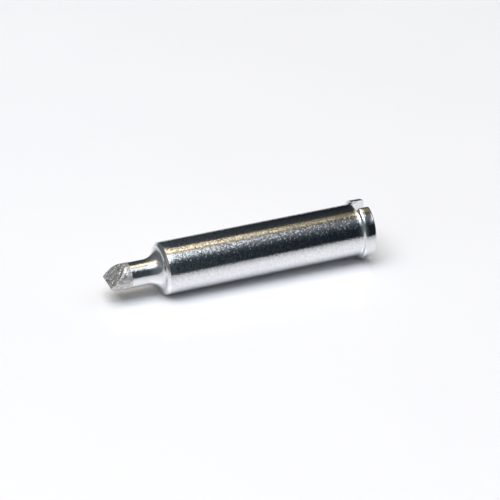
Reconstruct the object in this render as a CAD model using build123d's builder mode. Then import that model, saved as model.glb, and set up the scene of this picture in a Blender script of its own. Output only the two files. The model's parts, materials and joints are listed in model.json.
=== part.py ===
from build123d import *
import os
from math import acos, degrees, radians, sin, tan

# A soldering iron tip: one plated copper piece, turned, bored, slotted and bevelled.
# X runs along the tip. The open rear face is at X = 0 and the nose points to -X.
# The bevel and the keyway face +Z.

# Sleeve end, in millimetres: the bore takes the heater, the barrel is its wall
heater_bore_diameter = 5.6
barrel_wall = 1.2
barrel_length = 33.0
solid_front_length = 5.2
drill_point_angle = 118
bore_mouth_chamfer = 0.3

# Collar at the rear with a sloped front, and the keyway that stops the tip from turning
collar_length = 2.24
collar_rise = 0.5
collar_front_slope = 45
collar_edge_round = 0.18
collar_root_fillet = 0.3
rear_rim_round = 0.4
keyway_width = 2.0
keyway_length = 2.15

# Shoulder and nose: a chamfer, a hollow blend and a round neck
shoulder_chamfer = 0.42
neck_blend_radius = 2.35
neck_diameter = 3.85
nose_length = 8.6
front_edge_below_axis = 0.56
bevel_angle = 45
relief_angle = 60
bevel_edge_round = 0.12

# How far a cut runs past the metal that it removes
cut_margin = 1.0

# Radii and places that follow from the sizes above
bore_radius = heater_bore_diameter / 2
barrel_radius = bore_radius + barrel_wall
collar_radius = barrel_radius + collar_rise
collar_top_length = collar_length - collar_rise / tan(radians(collar_front_slope))
neck_radius = neck_diameter / 2
bore_depth = barrel_length - solid_front_length
bore_end = bore_depth + bore_radius / tan(radians(drill_point_angle / 2))
front_edge = barrel_length + nose_length
stock_end = front_edge + cut_margin

# The blend leaves the neck tangent to it and climbs to the chamfer's lower edge
blend_top = barrel_length + shoulder_chamfer
blend_height = barrel_radius - shoulder_chamfer - neck_radius
blend_turn = acos(1 - blend_height / neck_blend_radius)
blend_foot = blend_top + neck_blend_radius * sin(blend_turn)

# The nose cut opens from the front edge, up along the bevel and down along the relief
cut_height = neck_radius + cut_margin
bevel_run = (cut_height + front_edge_below_axis) / tan(radians(bevel_angle))
relief_run = (cut_height - front_edge_below_axis) / tan(radians(relief_angle))

with BuildPart() as soldering_tip:
    # Outer form, turned about the tip's own axis
    with BuildSketch(Plane.XZ):
        with BuildLine():
            nose_stock = Polyline(
                (-stock_end, 0),
                (-stock_end, neck_radius),
                (-blend_foot, neck_radius),
            )
            blend = JernArc(
                start=nose_stock @ 1,
                tangent=(1, 0),
                radius=neck_blend_radius,
                arc_size=degrees(blend_turn),
            )
            Polyline(
                blend @ 1,
                (-barrel_length, barrel_radius),
                (-collar_length, barrel_radius),
                (-collar_top_length, collar_radius),
                (0, collar_radius),
                (0, 0),
                (-stock_end, 0),
            )
        make_face()
    revolve(axis=Axis.X)

    # Rounded rear rim, and the collar's slope with a round above and a fillet below
    rings = soldering_tip.edges().filter_by(GeomType.CIRCLE).sort_by(Axis.X)
    fillet(rings[-1], rear_rim_round)
    fillet(rings[-2], collar_edge_round)
    fillet(rings[-3], collar_root_fillet)

    # Heater bore, drilled from the rear face to a conical end
    with BuildSketch(Plane.XZ):
        with BuildLine():
            Polyline(
                (0, 0),
                (0, bore_radius),
                (-bore_depth, bore_radius),
                (-bore_end, 0),
                close=True,
            )
        make_face()
    revolve(axis=Axis.X, mode=Mode.SUBTRACT)
    rear_rings = soldering_tip.edges().filter_by(GeomType.CIRCLE).group_by(Axis.X)[-1]
    chamfer(rear_rings.sort_by(SortBy.RADIUS)[0], bore_mouth_chamfer)

    # Keyway in the top of the collar, open to the rear and through the wall
    with BuildSketch(Plane.XY):
        with Locations((-keyway_length, 0)):
            Rectangle(
                keyway_length + cut_margin,
                keyway_width,
                align=(Align.MIN, Align.CENTER),
            )
    extrude(amount=collar_radius + cut_margin, mode=Mode.SUBTRACT)

    # Bevelled working face on top of the nose, and the relief below its front edge
    with BuildSketch(Plane.XZ):
        with BuildLine():
            Polyline(
                (-front_edge, -front_edge_below_axis),
                (-front_edge + bevel_run, cut_height),
                (-stock_end - cut_margin, cut_height),
                (-stock_end - cut_margin, -cut_height),
                (-front_edge + relief_run, -cut_height),
                close=True,
            )
        make_face()
    extrude(amount=cut_height, both=True, mode=Mode.SUBTRACT)
    nose_faces = soldering_tip.faces().filter_by(GeomType.PLANE).sort_by(Axis.X)[0:2]
    bevel_face = nose_faces.sort_by(Axis.Z)[-1]
    fillet(bevel_face.edges(), bevel_edge_round)

soldering_tip.part.label = "soldering_tip"

os.makedirs("parts", exist_ok=True)
export_step(soldering_tip.part, "parts/soldering_tip.step")
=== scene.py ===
import json
from math import acos, atan2, cos, pi, radians, sin, sqrt, tan

import bmesh
import bpy
from mathutils import Matrix, Vector


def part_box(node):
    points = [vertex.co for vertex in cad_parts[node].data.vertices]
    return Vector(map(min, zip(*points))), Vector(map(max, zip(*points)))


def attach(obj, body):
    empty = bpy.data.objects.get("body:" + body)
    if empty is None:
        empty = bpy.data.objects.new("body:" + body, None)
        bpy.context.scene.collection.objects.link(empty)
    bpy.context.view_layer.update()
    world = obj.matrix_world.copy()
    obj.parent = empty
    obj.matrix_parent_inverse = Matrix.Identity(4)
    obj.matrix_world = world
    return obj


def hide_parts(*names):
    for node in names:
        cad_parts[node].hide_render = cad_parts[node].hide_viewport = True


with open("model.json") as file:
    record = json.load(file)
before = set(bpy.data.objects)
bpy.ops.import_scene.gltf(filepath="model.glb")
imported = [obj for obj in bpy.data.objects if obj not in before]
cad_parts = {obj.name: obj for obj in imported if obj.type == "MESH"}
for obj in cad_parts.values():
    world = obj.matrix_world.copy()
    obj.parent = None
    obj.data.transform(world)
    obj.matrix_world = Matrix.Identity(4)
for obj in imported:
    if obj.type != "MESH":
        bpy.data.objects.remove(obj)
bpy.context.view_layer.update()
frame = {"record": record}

# A soldering iron tip lying on a white table. X runs along the tip, with the open
# rear face at X = 0 and the nose towards -X. The bevel and the keyway face up.

tip_node = "soldering_tip"
tip_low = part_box(tip_node)[0]
mm = 0.001
mount = {m["name"]: m for m in frame["record"]["mounts"]}

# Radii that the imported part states
bore_radius = mount["heater_bore"]["dims"]["r_mm"] * mm
barrel_radius = mount["barrel"]["dims"]["r_mm"] * mm
collar_radius = -tip_low.z

# Sizes along the tip. They are the solid's, but for the nose's front edge, which is rounded
# less and set back to end where the solid's does, and the collar's front, as in the photo.
barrel_front = -33.0 * mm
front_edge_x = -41.59 * mm
shoulder_chamfer = 0.42 * mm
neck_blend_radius = 2.35 * mm
neck_radius = 1.925 * mm
front_edge_z = -0.56 * mm
bevel_angle = radians(45)
relief_angle = radians(60)
bevel_edge_round = 0.06 * mm
collar_foot = -2.04 * mm
collar_slope = radians(68)
collar_edge_round = 0.35 * mm
collar_root_fillet = 0.42 * mm
rear_rim_round = 0.4 * mm
mouth_chamfer = 0.3 * mm
bore_depth = 27.8 * mm
drill_point_angle = radians(118)
keyway_half_width = 1.0 * mm
keyway_front = -2.15 * mm

# The collar rolls over into the keyway, and the keyway's edges are broken
keyway_roll_width = 0.27 * mm
keyway_roll_slope = 0.5
keyway_roll_run = 0.4 * mm
keyway_edge_break = 0.02 * mm

# The plating rolls over the barrel's front edge and builds up a little before the collar
ease_length = 1.1 * mm
ease_tilt = radians(3.6)
build_up_length = 0.85 * mm
build_up_tilt = radians(2.2)

# The tin covers the nose up to here and stands on the plating with a small step
tinning_rear = -38.2 * mm
tin_thickness = 0.03 * mm

# How finely the turned form is cut, from stock that runs a little past the nose
turn_steps = 96
fillet_steps = 6
blend_steps = 24
round_steps = 4
roll_steps = 3
stock_margin = 1.0 * mm

# How near a vertex has to be for a cut to go through it, or for two places to count as one
snap = 0.03 * mm
roll_snap = 0.004 * mm
near = 0.001 * mm
cut_tolerance = 0.0001 * mm

# Faces that meet at more than this angle keep their edge
sharp_angle = radians(32)

# The working face is where the nose's normals lean further than this up and to the front
bevel_facing = 0.6

# Places that follow from the sizes above
collar_top = collar_foot + (collar_radius - barrel_radius) / tan(collar_slope)
bore_end = -bore_depth - bore_radius / tan(drill_point_angle / 2)

# Material slots of the tip's mesh, in the order in which its finishes are added
satin_slot, bright_slot, coat_slot, bore_slot, worked_slot = range(5)

# Finishes: colours and roughness run between two values, grain is in cells per metre
satin_colours = (0.62, 0.63, 0.65), (0.88, 0.88, 0.89)
satin_roughness = 0.05, 0.08
satin_speck_scale = 6500
turning_marks_scale = 3500
turning_marks_stretch = (1, 1.3, 1.3)
turning_marks_depth = 0.006 * mm
leaning_grain_scale = 8000
grain_lean = 0.038
glint_lean = 0.18
glint_from, glint_to = 0.68, 0.85

bright_colours = (0.72, 0.73, 0.74), (0.80, 0.80, 0.81)
bright_roughness = 0.05, 0.1
bright_cloud_scale = 900
bright_ripple_scale = 2000
bright_ripple_depth = 0.016 * mm

coat_metallic = 0.85
coat_colours = (0.46, 0.455, 0.45), (0.74, 0.725, 0.72)
coat_roughness = 0.36, 0.5
coat_patch_scale = 1500
coat_patch_depth = 0.2 * mm
coat_grit_scale = 4000
coat_grit_depth = 0.1 * mm

worked_metallic = 0.88
worked_colours = (0.27, 0.27, 0.265), (0.88, 0.88, 0.87)
worked_roughness = 0.2, 0.34
wrinkle_scale = 1500
wrinkle_depth = 0.4 * mm
worked_grit_scale = 4500
worked_grit_depth = 0.03 * mm

bore_colours = (0.30, 0.28, 0.26), (0.46, 0.44, 0.42)
bore_roughness = 0.35, 0.55
drill_ring_scale = 1500
drill_ring_stretch = (6, 0.5, 0.5)
drill_ring_depth = 0.008 * mm

table_colours = (0.975, 0.975, 0.985), (0.99, 0.99, 0.995)
table_cloud_scale = 30
table_roughness = 0.05
table_coat_weight = 0.4
table_half_width = 3.0

# Studio: radiance by direction, where 1 is the white of the table. Two panels hang over
# the tip, a white one and a warm one behind it. Each is given in degrees over the top,
# from the front horizon at 0 to the back one at 180, and by x / z along the tip, with z
# held above a lowest height. The dim room around them is given by x.
white_panel_over = [
    (38, (0, 0, 0)), (48, (0.10, 0.12, 0.14)), (56, (0.46, 0.51, 0.56)), (64, (1.08, 1.16, 1.24)),
    (80, (1.22, 1.26, 1.32)), (86, (0.95, 0.94, 0.94)), (90, (0.30, 0.28, 0.27)), (93, (0, 0, 0)),
]
white_panel_along = [
    (-1.7, 0.1), (-1.2, 0.5), (-0.6, 1.1), (0.0, 1.7), (0.24, 1.6), (0.29, 1.0), (0.31, 0.92),
    (0.336, 1.10), (0.343, 0.88), (0.352, 0.62), (0.361, 0.48), (0.370, 0.34), (0.379, 0.21),
    (0.388, 0.13), (0.397, 0.09), (0.41, 0.07), (0.425, 0.07), (0.44, 0.12), (0.55, 0.12), (0.7, 1.3),
    (1.5, 1.3), (1.7, 0.12), (2.0, 0.12),
]
warm_strip_over = [
    (89, (0, 0, 0)), (94, (0.9, 0.76, 0.52)), (98, (1.65, 1.42, 0.96)), (114, (1.35, 1.15, 0.78)),
    (121, (0.33, 0.26, 0.17)), (128, (0.15, 0.12, 0.09)), (140, (0.10, 0.085, 0.07)),
    (152, (0.045, 0.04, 0.04)), (166, (0.01, 0.01, 0.012)), (174, (0, 0, 0)),
]
warm_strip_along = [
    (-1.7, 0.1), (-1.3, 0.3), (-1.0, 0.5), (-0.2, 0.6), (0.12, 0.6), (0.24, 0.9), (0.29, 1.1),
    (0.336, 1.02), (0.343, 0.87), (0.352, 0.68), (0.361, 0.56), (0.370, 0.38), (0.379, 0.27),
    (0.388, 0.23), (0.397, 0.19), (0.413, 0.13), (0.435, 0.16), (2.0, 0.14),
]
room_along_the_tip = [
    (-1.0, (0.17, 0.185, 0.195)), (-0.5, (0.13, 0.145, 0.155)), (0.0, (0.08, 0.09, 0.095)),
    (0.30, (0.050, 0.066, 0.075)), (0.32, (0.034, 0.045, 0.053)), (0.335, (0.021, 0.029, 0.036)),
    (0.35, (0.015, 0.021, 0.027)), (0.38, (0.011, 0.015, 0.021)), (1.0, (0.03, 0.03, 0.035)),
]
along_reach = 2.0
lowest_height = 0.05
softbox_place = Vector((-0.80, -0.24, 2.0))
softbox_width = 2.0
softbox_depth = 1.32
softbox_radiance = 3.84
softbox_colour = (1.0, 1.0, 1.06)

# Camera: it stands on the -Y side, turned towards the nose and looking down
view_target = Vector((-18.85, 0.16, 0)) * mm
view_distance = 372.96 * mm
view_towards_nose = radians(23.74)
view_elevation = radians(32.67)
view_roll = radians(1.84)
lens_mm = 180
sensor_mm = 36
near_clip = 0.01


def new_material(name):
    """A material with a bare Principled shader, and its node tree."""
    material = bpy.data.materials.new(name)
    material.use_nodes = True
    tree = material.node_tree
    return material, tree, tree.nodes["Principled BSDF"]


def add(tree, kind, inputs=None, **settings):
    """A node with its settings, and its inputs set to values or linked from sockets."""
    node = tree.nodes.new(kind)
    for name, value in settings.items():
        setattr(node, name, value)
    for key, value in (inputs or {}).items():
        if isinstance(value, bpy.types.NodeSocket):
            tree.links.new(value, node.inputs[key])
        else:
            node.inputs[key].default_value = value
    return node


def grain(tree, scale, stretch=(1, 1, 1), detail=2.0):
    """Noise on the piece's own coordinates, in cells per metre, stretched along its axes."""
    place = add(tree, "ShaderNodeTexCoord")
    mapping = add(tree, "ShaderNodeMapping", {"Vector": place.outputs["Object"], "Scale": stretch})
    noise = add(
        tree,
        "ShaderNodeTexNoise",
        {"Vector": mapping.outputs["Vector"], "Scale": scale, "Detail": detail},
    )
    return noise.outputs["Fac"]


def spread(tree, value, low, high, start=0.3, end=0.7):
    """A noise value, which mostly lies between the start and end here, spread over a range."""
    node = add(
        tree,
        "ShaderNodeMapRange",
        {"Value": value, "From Min": start, "From Max": end, "To Min": low, "To Max": high},
    )
    return node.outputs["Result"]


def mix(tree, operation, amount, first, second):
    """Two colours mixed. A colour mix has them in its inputs 6 and 7 and gives output 2."""
    inputs = {0: amount, 6: first, 7: second}
    return add(tree, "ShaderNodeMix", inputs, data_type="RGBA", blend_type=operation).outputs[2]


def tint(tree, value, low, high):
    """A noise value as a colour between two."""
    return mix(tree, "MIX", value, (*low, 1), (*high, 1))


def relief(tree, height, depth, below=None):
    """A bump of that depth in metres, laid over another normal where one is given."""
    inputs = {"Height": height, "Distance": depth, "Strength": 1.0}
    if below is not None:
        inputs["Normal"] = below
    return add(tree, "ShaderNodeBump", inputs).outputs["Normal"]


def random_cells(tree, scale):
    """A random colour for each small grain of the plating, in grains per metre."""
    place = add(tree, "ShaderNodeTexCoord").outputs["Object"]
    return add(tree, "ShaderNodeTexVoronoi", {"Vector": place, "Scale": scale}).outputs["Color"]


def vector_math(tree, operation, inputs):
    """The result of one vector operation."""
    return add(tree, "ShaderNodeVectorMath", inputs, operation=operation).outputs[0]


def leaning_grains(tree, cells):
    """The surface's own normal, leaning a random way in each grain and much further in a few."""
    middle = (0.5, 0.5, 0.5)
    reach = spread(tree, cells, grain_lean, glint_lean, glint_from, glint_to)
    centred = vector_math(tree, "SUBTRACT", {0: cells, 1: middle})
    leaned = vector_math(tree, "SCALE", {0: centred, "Scale": reach})
    normal = add(tree, "ShaderNodeNewGeometry").outputs["Normal"]
    tilted = vector_math(tree, "ADD", {0: normal, 1: leaned})
    return vector_math(tree, "NORMALIZE", {0: tilted})


def set_finish(tree, shader, metallic, colour, roughness, normal):
    """Sets how metallic a finish is, and links its colour, roughness and normal."""
    shader.inputs["Metallic"].default_value = metallic
    tree.links.new(colour, shader.inputs["Base Color"])
    tree.links.new(roughness, shader.inputs["Roughness"])
    tree.links.new(normal, shader.inputs["Normal"])


def satin_plating():
    """The barrel: plated over fine turning marks, with a sparkling grain."""
    material, tree, shader = new_material("satin_plating")
    marks = grain(tree, turning_marks_scale, stretch=turning_marks_stretch)
    colour = tint(tree, random_cells(tree, satin_speck_scale), *satin_colours)
    roughness = spread(tree, marks, *satin_roughness)
    grains = leaning_grains(tree, random_cells(tree, leaning_grain_scale))
    normal = relief(tree, marks, turning_marks_depth, grains)
    set_finish(tree, shader, 1.0, colour, roughness, normal)
    return material


def bright_plating():
    """Shoulder, neck and collar: the same plating over polished metal."""
    material, tree, shader = new_material("bright_plating")
    cloud = grain(tree, bright_cloud_scale, detail=4.0)
    colour = tint(tree, spread(tree, cloud, 0, 1), *bright_colours)
    roughness = spread(tree, cloud, *bright_roughness)
    normal = relief(tree, grain(tree, bright_ripple_scale), bright_ripple_depth)
    set_finish(tree, shader, 1.0, colour, roughness, normal)
    return material


def tinned_coat():
    """The nose around its working face: dull, light grey tin."""
    material, tree, shader = new_material("tinned_coat")
    patches = grain(tree, coat_patch_scale, detail=3.0)
    grit = grain(tree, coat_grit_scale, detail=1.0)
    colour = tint(tree, spread(tree, patches, 0, 1), *coat_colours)
    roughness = spread(tree, grit, *coat_roughness)
    normal = relief(tree, patches, coat_patch_depth, relief(tree, grit, coat_grit_depth))
    set_finish(tree, shader, coat_metallic, colour, roughness, normal)
    return material


def worked_tin():
    """The bevelled working face: darker tin, wrinkled where solder has run over it."""
    material, tree, shader = new_material("worked_tin")
    wrinkles = grain(tree, wrinkle_scale, detail=4.0)
    grit = grain(tree, worked_grit_scale, detail=1.0)
    colour = tint(tree, spread(tree, wrinkles, 0, 1), *worked_colours)
    roughness = spread(tree, grit, *worked_roughness)
    normal = relief(tree, wrinkles, wrinkle_depth, relief(tree, grit, worked_grit_depth))
    set_finish(tree, shader, worked_metallic, colour, roughness, normal)
    return material


def bored_wall():
    """Inside the bore: thin, dull plating over drill marks."""
    material, tree, shader = new_material("bored_wall")
    rings = grain(tree, drill_ring_scale, stretch=drill_ring_stretch)
    colour = tint(tree, spread(tree, rings, 0, 1), *bore_colours)
    roughness = spread(tree, rings, *bore_roughness)
    set_finish(tree, shader, 1.0, colour, roughness, relief(tree, rings, drill_ring_depth))
    return material


def table_top():
    """The table's surface: white, with a thin clear coat."""
    material, tree, shader = new_material("table_top")
    cloud = grain(tree, table_cloud_scale)
    colour = tint(tree, spread(tree, cloud, 0, 1), *table_colours)
    tree.links.new(colour, shader.inputs["Base Color"])
    shader.inputs["Roughness"].default_value = table_roughness
    shader.inputs["Coat Weight"].default_value = table_coat_weight
    shader.inputs["Coat Roughness"].default_value = table_roughness
    return material


def bend(path, heading, radius, turn, steps):
    """Carries a path on round an arc, to the left for a positive turn, and gives its new heading."""
    side = 1 if turn > 0 else -1
    x, r = path[-1]
    middle = (x - side * radius * sin(heading), r + side * radius * cos(heading))
    for i in range(1, steps + 1):
        angle = heading + turn * i / steps
        path.append((middle[0] + side * radius * sin(angle), middle[1] - side * radius * cos(angle)))
    return heading + turn


def half_section():
    """The tip's outline as (x, radius), from the nose's stock over the outside and up the bore."""
    stock_x = front_edge_x - stock_margin
    tinned_radius = neck_radius + tin_thickness
    path = [(stock_x, 0), (stock_x, tinned_radius), (tinning_rear - tin_thickness, tinned_radius)]

    # Neck, hollow blend and the shoulder's chamfer
    path.append((tinning_rear, neck_radius))
    rise = barrel_radius - shoulder_chamfer - neck_radius
    blend_turn = acos(1 - rise / neck_blend_radius)
    blend_top = barrel_front - shoulder_chamfer
    path.append((blend_top - neck_blend_radius * sin(blend_turn), neck_radius))
    bend(path, 0, neck_blend_radius, blend_turn, blend_steps)

    # Barrel, eased at its front
    ease_drop = ease_length * tan(ease_tilt / 2)
    path.append((barrel_front, barrel_radius - ease_drop))
    bend(path, ease_tilt, ease_length / sin(ease_tilt), -ease_tilt, fillet_steps)

    # Build-up, fillet, slope and rounded edge of the collar
    built_up = build_up_length * tan(build_up_tilt / 2)
    fillet_rise = collar_root_fillet * (cos(build_up_tilt) - cos(collar_slope))
    fillet_run = collar_root_fillet * (sin(collar_slope) - sin(build_up_tilt))
    fillet_end = collar_foot + (built_up + fillet_rise) / tan(collar_slope)
    path.append((fillet_end - fillet_run - build_up_length, barrel_radius))
    bend(path, 0, build_up_length / sin(build_up_tilt), build_up_tilt, fillet_steps)
    bend(path, build_up_tilt, collar_root_fillet, collar_slope - build_up_tilt, fillet_steps)
    round_back = collar_edge_round * tan(collar_slope / 2)
    path.append((
        collar_top - round_back * cos(collar_slope),
        collar_radius - round_back * sin(collar_slope),
    ))
    bend(path, collar_slope, collar_edge_round, -collar_slope, fillet_steps)

    # Rear rim, bore mouth, bore and its conical end
    path.append((-rear_rim_round, collar_radius))
    bend(path, 0, rear_rim_round, -pi / 2, fillet_steps)
    path += [
        (0, bore_radius + mouth_chamfer),
        (-mouth_chamfer, bore_radius),
        (-bore_depth, bore_radius),
        (bore_end, 0),
    ]
    return path


def turn_blank(bm):
    """Spins the half section about the tip's axis into a closed form."""
    verts = [bm.verts.new((x, 0, r)) for x, r in half_section()]
    edges = [bm.edges.new(pair) for pair in zip(verts, verts[1:])]
    bmesh.ops.spin(
        bm, geom=verts + edges, cent=(0, 0, 0), axis=(1, 0, 0), dvec=(0, 0, 0),
        angle=2 * pi, steps=turn_steps, use_merge=True, use_duplicate=False,
    )
    bmesh.ops.remove_doubles(bm, verts=bm.verts[:], dist=near)
    bmesh.ops.recalc_face_normals(bm, faces=bm.faces[:])


def slice_off(bm, point, outward):
    """Cuts everything outside a plane away and closes the cut with one face."""
    cut = bmesh.ops.bisect_plane(
        bm, geom=bm.verts[:] + bm.edges[:] + bm.faces[:], dist=cut_tolerance,
        plane_co=point, plane_no=outward, clear_outer=True,
    )
    rim = [e for e in cut["geom_cut"] if isinstance(e, bmesh.types.BMEdge) and e.is_boundary]
    return bmesh.ops.contextual_create(bm, geom=rim)["faces"][0]


def cut_nose(bm):
    """The relief under the front edge, then the bevelled face with its rounded edges."""
    front_edge = (front_edge_x, 0, front_edge_z)
    slice_off(bm, front_edge, (-sin(relief_angle), 0, -cos(relief_angle)))
    face = slice_off(bm, front_edge, (-sin(bevel_angle), 0, cos(bevel_angle)))
    bmesh.ops.bevel(
        bm, geom=face.edges[:], offset=bevel_edge_round, offset_type="OFFSET", segments=round_steps,
        profile=0.5, affect="EDGES", clamp_overlap=False, material=-1,
    )


def score(bm, faces, point, normal, snap_distance):
    """Cuts some faces along a plane without taking anything away."""
    geom = list({v for f in faces for v in f.verts} | {e for f in faces for e in f.edges}) + faces
    bmesh.ops.bisect_plane(
        bm, geom=geom, dist=snap_distance, plane_co=point, plane_no=normal, use_snap_center=True,
    )


def upper_faces(bm, from_x):
    """The faces on the tip's upper half and nearer to the rear than a place along it."""
    centres = ((f, f.calc_center_median()) for f in bm.faces)
    return [f for f, centre in centres if centre.x > from_x and centre.z > 0]


def cut_keyway(bm):
    """The slot through the top of the collar, open to the rear and into the bore."""
    score(bm, upper_faces(bm, barrel_front), (keyway_front, 0, 0), (1, 0, 0), near)
    for side in (-1, 1):
        edge = (0, side * keyway_half_width, 0)
        score(bm, upper_faces(bm, barrel_front), edge, (0, 1, 0), snap)
    roll_down(bm)
    collar = upper_faces(bm, keyway_front)
    inside = [f for f in collar if abs(f.calc_center_median().y) < keyway_half_width]
    bmesh.ops.delete(bm, geom=inside, context="FACES")
    close_keyway(bm)


def roll_down(bm):
    """Rolls the collar over towards each long edge of the slot, from nothing at its front end."""
    for line in range(roll_steps, 0, -1):
        for side in (-1, 1):
            reach = keyway_half_width + keyway_roll_width * line / roll_steps
            score(bm, upper_faces(bm, keyway_front), (0, side * reach, 0), (0, 1, 0), roll_snap)
    outer_from = 0.98 * barrel_radius
    for v in bm.verts:
        inward = 1 - (abs(v.co.y) - keyway_half_width) / keyway_roll_width
        outside = v.co.z > 0 and v.co.y ** 2 + v.co.z ** 2 > outer_from ** 2
        in_roll = 0 < inward and abs(v.co.y) > keyway_half_width - near
        if outside and in_roll and v.co.x > keyway_front:
            growth = min(1, (v.co.x - keyway_front) / keyway_roll_run)
            v.co.z -= growth * keyway_roll_width * keyway_roll_slope * inward ** 2 / 2


def close_keyway(bm):
    """The slot's two side walls and its front wall."""
    def on_side(v, side):
        return abs(v.co.y - side * keyway_half_width) < near

    rim = [v for v in bm.verts if v.is_boundary]
    front = [v for v in rim if abs(v.co.x - keyway_front) < near]
    uprights = []
    for side in (-1, 1):
        corners = sorted((v for v in front if on_side(v, side)), key=lambda v: v.co.z)
        uprights.append(bm.edges.new((corners[0], corners[-1])))
    loops = [e for e in bm.edges if e.is_boundary] + uprights
    walls = []
    for side in (-1, 1):
        ring = [e for e in loops if all(on_side(v, side) for v in e.verts)]
        walls += bmesh.ops.contextual_create(bm, geom=ring)["faces"]
    ring = [e for e in loops if all(abs(v.co.x - keyway_front) < near for v in e.verts)]
    walls += bmesh.ops.contextual_create(bm, geom=ring)["faces"]
    bmesh.ops.recalc_face_normals(bm, faces=bm.faces[:])
    lips = {e for w in walls for e in w.edges if e not in uprights}
    bmesh.ops.bevel(
        bm, geom=list(lips), offset=keyway_edge_break, offset_type="OFFSET", segments=2,
        profile=0.5, affect="EDGES", clamp_overlap=True, material=-1,
    )


def zone_of(face):
    """Which finish a face has, as the number of its material slot."""
    centre = face.calc_center_median()
    radius = sqrt(centre.y ** 2 + centre.z ** 2)
    if centre.x < tinning_rear:
        on_bevel = face.normal.z > bevel_facing and face.normal.x < -bevel_facing
        return worked_slot if on_bevel else coat_slot
    if radius < bore_radius + near and centre.x > bore_end:
        return bore_slot
    if barrel_front < centre.x < collar_foot - collar_root_fillet / 2:
        return satin_slot
    return bright_slot


def soldering_tip():
    """The whole tip in one piece, with its five finishes."""
    bm = bmesh.new()
    turn_blank(bm)
    cut_nose(bm)
    cut_keyway(bm)
    nose = [f for f in bm.faces if f.calc_center_median().x < barrel_front]
    score(bm, nose, (tinning_rear, 0, 0), (1, 0, 0), near)
    for face in bm.faces:
        face.smooth = True
        face.material_index = zone_of(face)
    mesh = bpy.data.meshes.new("tip_body")
    bm.to_mesh(mesh)
    bm.free()
    mesh.set_sharp_from_angle(angle=sharp_angle)
    for finish in (satin_plating(), bright_plating(), tinned_coat(), bored_wall(), worked_tin()):
        mesh.materials.append(finish)
    piece = bpy.data.objects.new("tip_body", mesh)
    bpy.context.scene.collection.objects.link(piece)
    weighted = piece.modifiers.new("even_shading", "WEIGHTED_NORMAL")
    weighted.keep_sharp = True
    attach(piece, "root")
    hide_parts(tip_node)


def table():
    """A white table that the collar and the front of the barrel touch."""
    slope = (collar_radius - barrel_radius) / (collar_top - barrel_front)
    bm = bmesh.new()
    bmesh.ops.create_grid(bm, x_segments=1, y_segments=1, size=table_half_width)
    tilt = Matrix.Rotation(atan2(slope, 1), 4, "Y")
    touch = Matrix.Translation((barrel_front, 0, -barrel_radius))
    bmesh.ops.transform(bm, verts=bm.verts[:], matrix=touch @ tilt)
    mesh = bpy.data.meshes.new("table")
    bm.to_mesh(mesh)
    bm.free()
    mesh.materials.append(table_top())
    piece = bpy.data.objects.new("table", mesh)
    bpy.context.scene.collection.objects.link(piece)


def ramp(tree, value, stops):
    """A value looked up in a list of (place from 0 to 1, colour)."""
    node = add(tree, "ShaderNodeValToRGB", {"Fac": value})
    elements = node.color_ramp.elements
    while len(elements) < len(stops):
        elements.new(0.5)
    for element, (place, colour) in zip(elements, stops):
        element.position = place
        element.color = (*colour, 1)
    return node.outputs["Color"]


def calculate(tree, operation, first, second):
    """The result of one operation on two numbers."""
    return add(tree, "ShaderNodeMath", {0: first, 1: second}, operation=operation).outputs[0]


def panel(tree, over, along, over_stops, along_stops):
    """A panel's radiance, from its strength over the top and along the tip."""
    across = ramp(tree, over, [(degree / 180, colour) for degree, colour in over_stops])
    places = [((x + along_reach) / (2 * along_reach), (v, v, v)) for x, v in along_stops]
    return mix(tree, "MULTIPLY", 1.0, across, ramp(tree, along, places))


def zero_to_one(tree, value, reach):
    """A value between minus and plus its reach, moved to the 0 to 1 that a ramp reads."""
    node = add(
        tree, "ShaderNodeMapRange",
        {"Value": value, "From Min": -reach, "From Max": reach, "To Min": 0.0, "To Max": 1.0},
    )
    return node.outputs["Result"]


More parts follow.
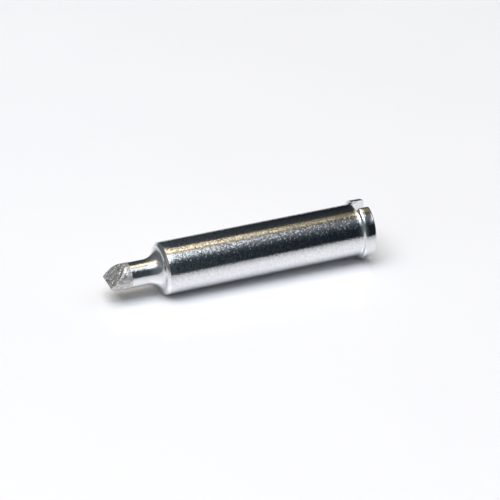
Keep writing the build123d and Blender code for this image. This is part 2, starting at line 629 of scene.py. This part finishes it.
def studio():
    """A dim room with two panels hanging over the tip."""
    world = bpy.data.worlds.new("studio")
    bpy.context.scene.world = world
    world.use_nodes = True
    tree = world.node_tree
    tree.nodes.clear()
    place = add(tree, "ShaderNodeTexCoord")
    axes = add(tree, "ShaderNodeSeparateXYZ", {"Vector": place.outputs["Generated"]}).outputs
    forward = calculate(tree, "MULTIPLY", axes["Y"], -1.0)
    angle = calculate(tree, "ARCTAN2", axes["Z"], forward)
    over = calculate(tree, "DIVIDE", angle, pi)
    height = calculate(tree, "MAXIMUM", axes["Z"], lowest_height)
    ratio = calculate(tree, "DIVIDE", axes["X"], height)
    along = zero_to_one(tree, ratio, along_reach)
    white = panel(tree, over, along, white_panel_over, white_panel_along)
    warm = panel(tree, over, along, warm_strip_over, warm_strip_along)
    room_stops = [((x + 1) / 2, colour) for x, colour in room_along_the_tip]
    room = ramp(tree, zero_to_one(tree, axes["X"], 1.0), room_stops)
    lit = mix(tree, "ADD", 1.0, mix(tree, "ADD", 1.0, white, warm), room)
    seen = add(tree, "ShaderNodeBackground", {"Color": lit, "Strength": 1.0})
    add(tree, "ShaderNodeOutputWorld", {"Surface": seen.outputs[0]})


def softbox():
    """The main light: a large soft lamp overhead, a little towards the nose and the front."""
    lamp = bpy.data.lights.new("softbox", "AREA")
    lamp.shape = "RECTANGLE"
    lamp.size = softbox_width
    lamp.size_y = softbox_depth
    lamp.energy = softbox_radiance * pi * softbox_width * softbox_depth
    lamp.color = softbox_colour
    light = bpy.data.objects.new("softbox", lamp)
    light.location = softbox_place
    light.visible_camera = False
    bpy.context.scene.collection.objects.link(light)


def camera():
    """The photograph's own view, through a long lens."""
    data = bpy.data.cameras.new("camera")
    data.lens = lens_mm
    data.sensor_width = sensor_mm
    data.clip_start = near_clip
    back = Vector((
        -sin(view_towards_nose) * cos(view_elevation),
        -cos(view_towards_nose) * cos(view_elevation),
        sin(view_elevation),
    ))
    turn = (-back).to_track_quat("-Z", "Y").to_matrix().to_4x4() @ Matrix.Rotation(view_roll, 4, "Z")
    piece = bpy.data.objects.new("camera", data)
    piece.matrix_world = Matrix.Translation(view_target + back * view_distance) @ turn
    bpy.context.scene.collection.objects.link(piece)
    bpy.context.scene.camera = piece


soldering_tip()
table()
studio()
softbox()
camera()
bpy.context.scene.view_settings.view_transform = "Standard"
